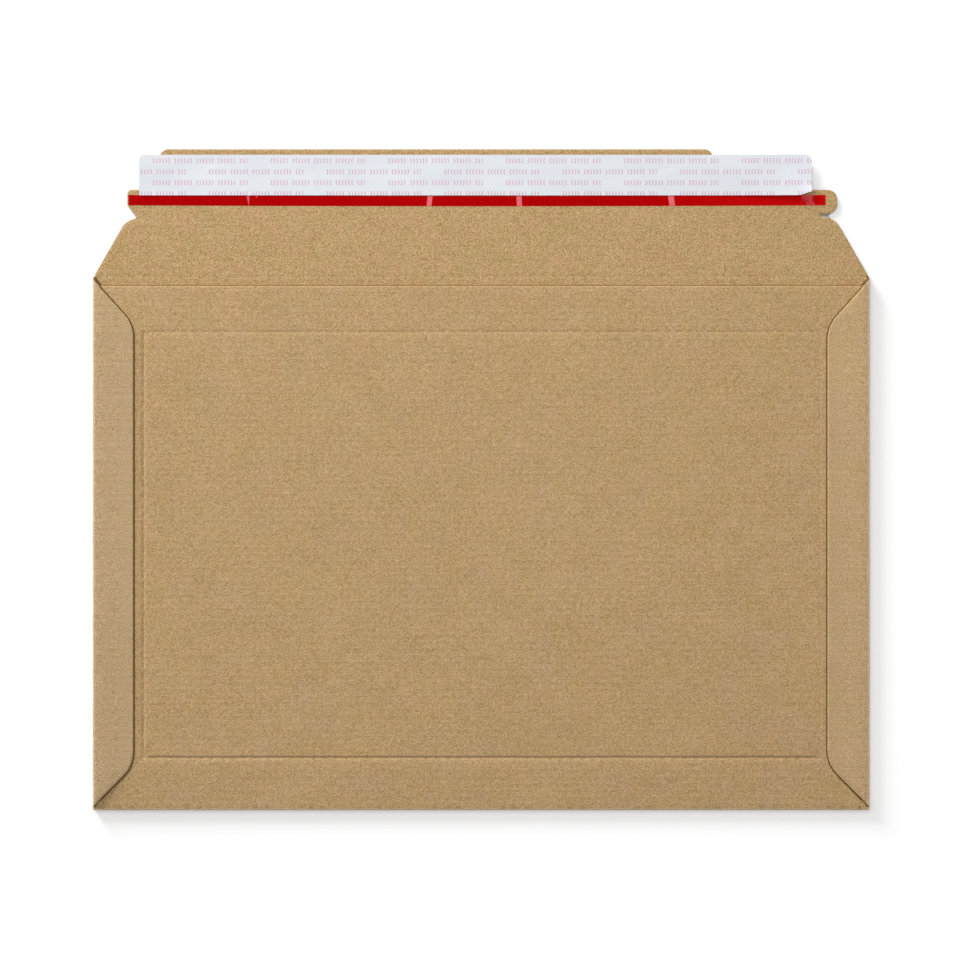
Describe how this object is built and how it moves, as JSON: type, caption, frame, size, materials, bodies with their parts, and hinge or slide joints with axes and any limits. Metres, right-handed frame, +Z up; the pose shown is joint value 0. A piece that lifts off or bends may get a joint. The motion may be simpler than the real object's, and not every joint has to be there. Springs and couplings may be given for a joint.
{
  "type": "book wrap mailer",
  "caption": "Flat corrugated mailing envelope with glued side flaps, and an open closing flap with tear strip and peel-off adhesive band.",
  "frame": {"origin": "centre of the object's box, on the surface that it lies on", "axes": "+X along the closing flap's crease, towards the thumb tab; +Y from the bottom fold towards the flap's lip; +Z up, out of the near panel"},
  "size_m": [0.375, 0.3192, 0.0053],
  "materials": {
    "mailer_pocket": "matt brown kraft liner",
    "side_glue_left": "dried cold glue",
    "side_glue_right": "dried cold glue",
    "closure_flap": "matt brown kraft liner, inner face",
    "tear_strip": "glossy red film",
    "adhesive_strip": "clear pressure-sensitive adhesive",
    "release_liner": "satin white silicone-coated paper"
  },
  "bodies": {
    "pocket": {"mailer_pocket": "mailer_pocket", "side_glue_left": "side_glue_left", "side_glue_right": "side_glue_right"},
    "flap": {"closure_flap": "closure_flap", "tear_strip": "tear_strip", "adhesive_strip": "adhesive_strip", "release_liner": "release_liner"}
  },
  "joints": [
    {"name": "flap_crease", "type": "hinge", "parent": "pocket", "child": "flap", "pos_m": [0, 0.0977, 0.00365], "axis": [1, 0, 0], "range_deg": [0, 179]}
  ]
}
